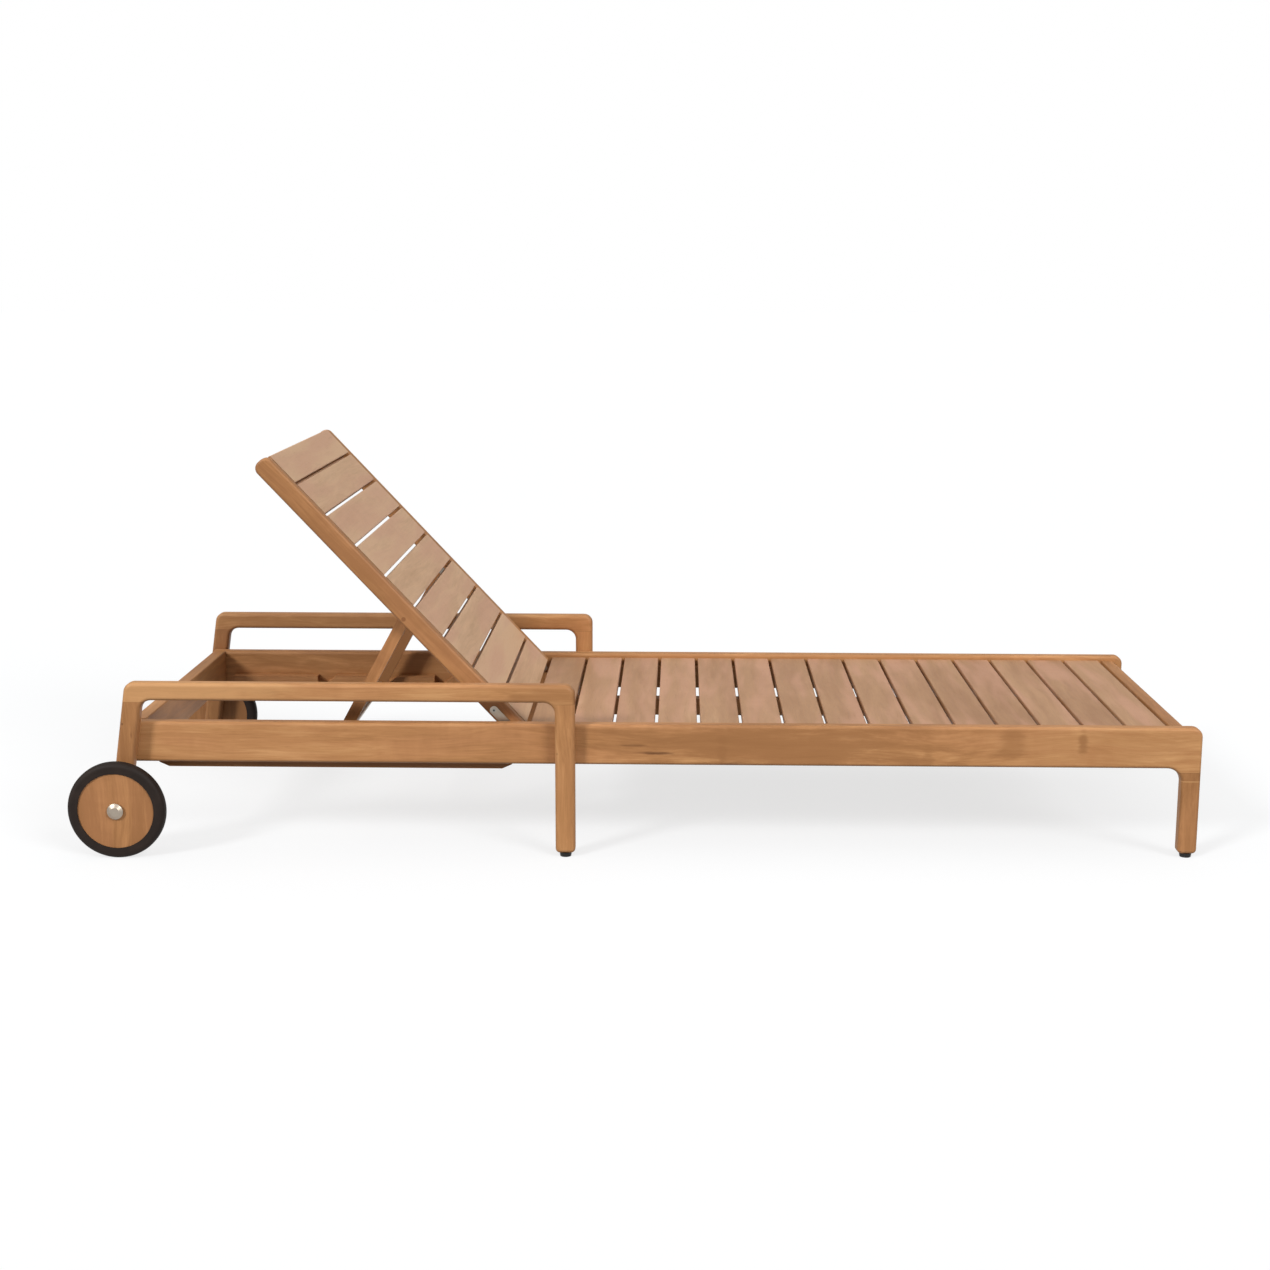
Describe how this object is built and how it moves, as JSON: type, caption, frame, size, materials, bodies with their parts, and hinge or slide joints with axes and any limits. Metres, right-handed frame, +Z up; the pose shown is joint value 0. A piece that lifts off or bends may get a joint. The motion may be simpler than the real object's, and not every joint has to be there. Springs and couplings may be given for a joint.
{
  "type": "adjustable sun lounger",
  "caption": "Slatted wooden sun lounger with armrests, a backrest that reclines on a notched rack and prop, and a pair of wheels at the head end.",
  "frame": {"origin": "on the floor under the middle of the bounding box", "axes": "+X along the lounger towards the foot end, +Y to the left of a person lying on it, +Z up"},
  "size_m": [1.995, 0.771, 0.7021],
  "materials": {
    "teak": "oiled",
    "steel": "satin",
    "tyre": "matt",
    "bush": "matt",
    "glide": "matt"
  },
  "bodies": {
    "frame": {"arm_leg_dowels": "teak", "axle_caps": "steel", "foot_end_bar": "teak", "head_crossbar": "teak", "hinge_pins": "steel", "left_arm_front_leg": "teak", "left_arm_rail": "teak", "left_arm_rear_leg": "teak", "left_foot_leg": "teak", "left_notch_rack": "teak", "left_side_rail": "teak", "leg_glides": "glide", "mid_crossbar": "teak", "right_arm_front_leg": "teak", "right_arm_rail": "teak", "right_arm_rear_leg": "teak", "right_foot_leg": "teak", "right_notch_rack": "teak", "right_side_rail": "teak", "seat_centre_bearer": "teak", "seat_slat_01": "teak", "seat_slat_02": "teak", "seat_slat_03": "teak", "seat_slat_04": "teak", "seat_slat_05": "teak", "seat_slat_06": "teak", "seat_slat_07": "teak", "seat_slat_08": "teak", "seat_slat_09": "teak", "seat_slat_10": "teak", "seat_slat_11": "teak", "seat_slat_12": "teak", "seat_slat_13": "teak", "seat_slat_14": "teak", "seat_slat_15": "teak", "slat_cleats": "teak", "wheel_axles": "steel"},
    "backrest": {"back_slat_1": "teak", "back_slat_2": "teak", "back_slat_3": "teak", "back_slat_4": "teak", "back_slat_5": "teak", "back_slat_6": "teak", "back_slat_7": "teak", "back_slat_8": "teak", "back_slat_9": "teak", "left_back_stile": "teak", "right_back_stile": "teak", "hinge_straps": "steel", "backrest_fasteners": "steel", "pivot_plugs": "teak"},
    "prop": {"left_prop_leg": "teak", "right_prop_leg": "teak", "prop_rod": "steel"},
    "left_wheel": {"left_tyre": "tyre", "left_wheel_disc": "teak", "left_wheel_bush": "bush"},
    "right_wheel": {"right_tyre": "tyre", "right_wheel_disc": "teak", "right_wheel_bush": "bush"}
  },
  "joints": [
    {"name": "backrest_recline", "type": "hinge", "parent": "frame", "child": "backrest", "pos_m": [-0.2029, 0, 0.2053], "axis": [0, 1, 0], "range_deg": [-46.9, 8.9]},
    {"name": "prop_swing", "type": "hinge", "parent": "backrest", "child": "prop", "pos_m": [-0.40691, 0, 0.41745], "axis": [0, 1, 0], "range_deg": [-19.76, 103.28]},
    {"name": "left_wheel_spin", "type": "hinge", "parent": "frame", "child": "left_wheel", "pos_m": [-0.9108, 0.367, 0.0867], "axis": [0, 1, 0], "continuous": true},
    {"name": "right_wheel_spin", "type": "hinge", "parent": "frame", "child": "right_wheel", "pos_m": [-0.9108, -0.367, 0.0867], "axis": [0, 1, 0], "continuous": true}
  ],
  "couplings": [
    {"joint": "prop_swing", "follows": "backrest_recline", "ratio": -2.1978}
  ]
}
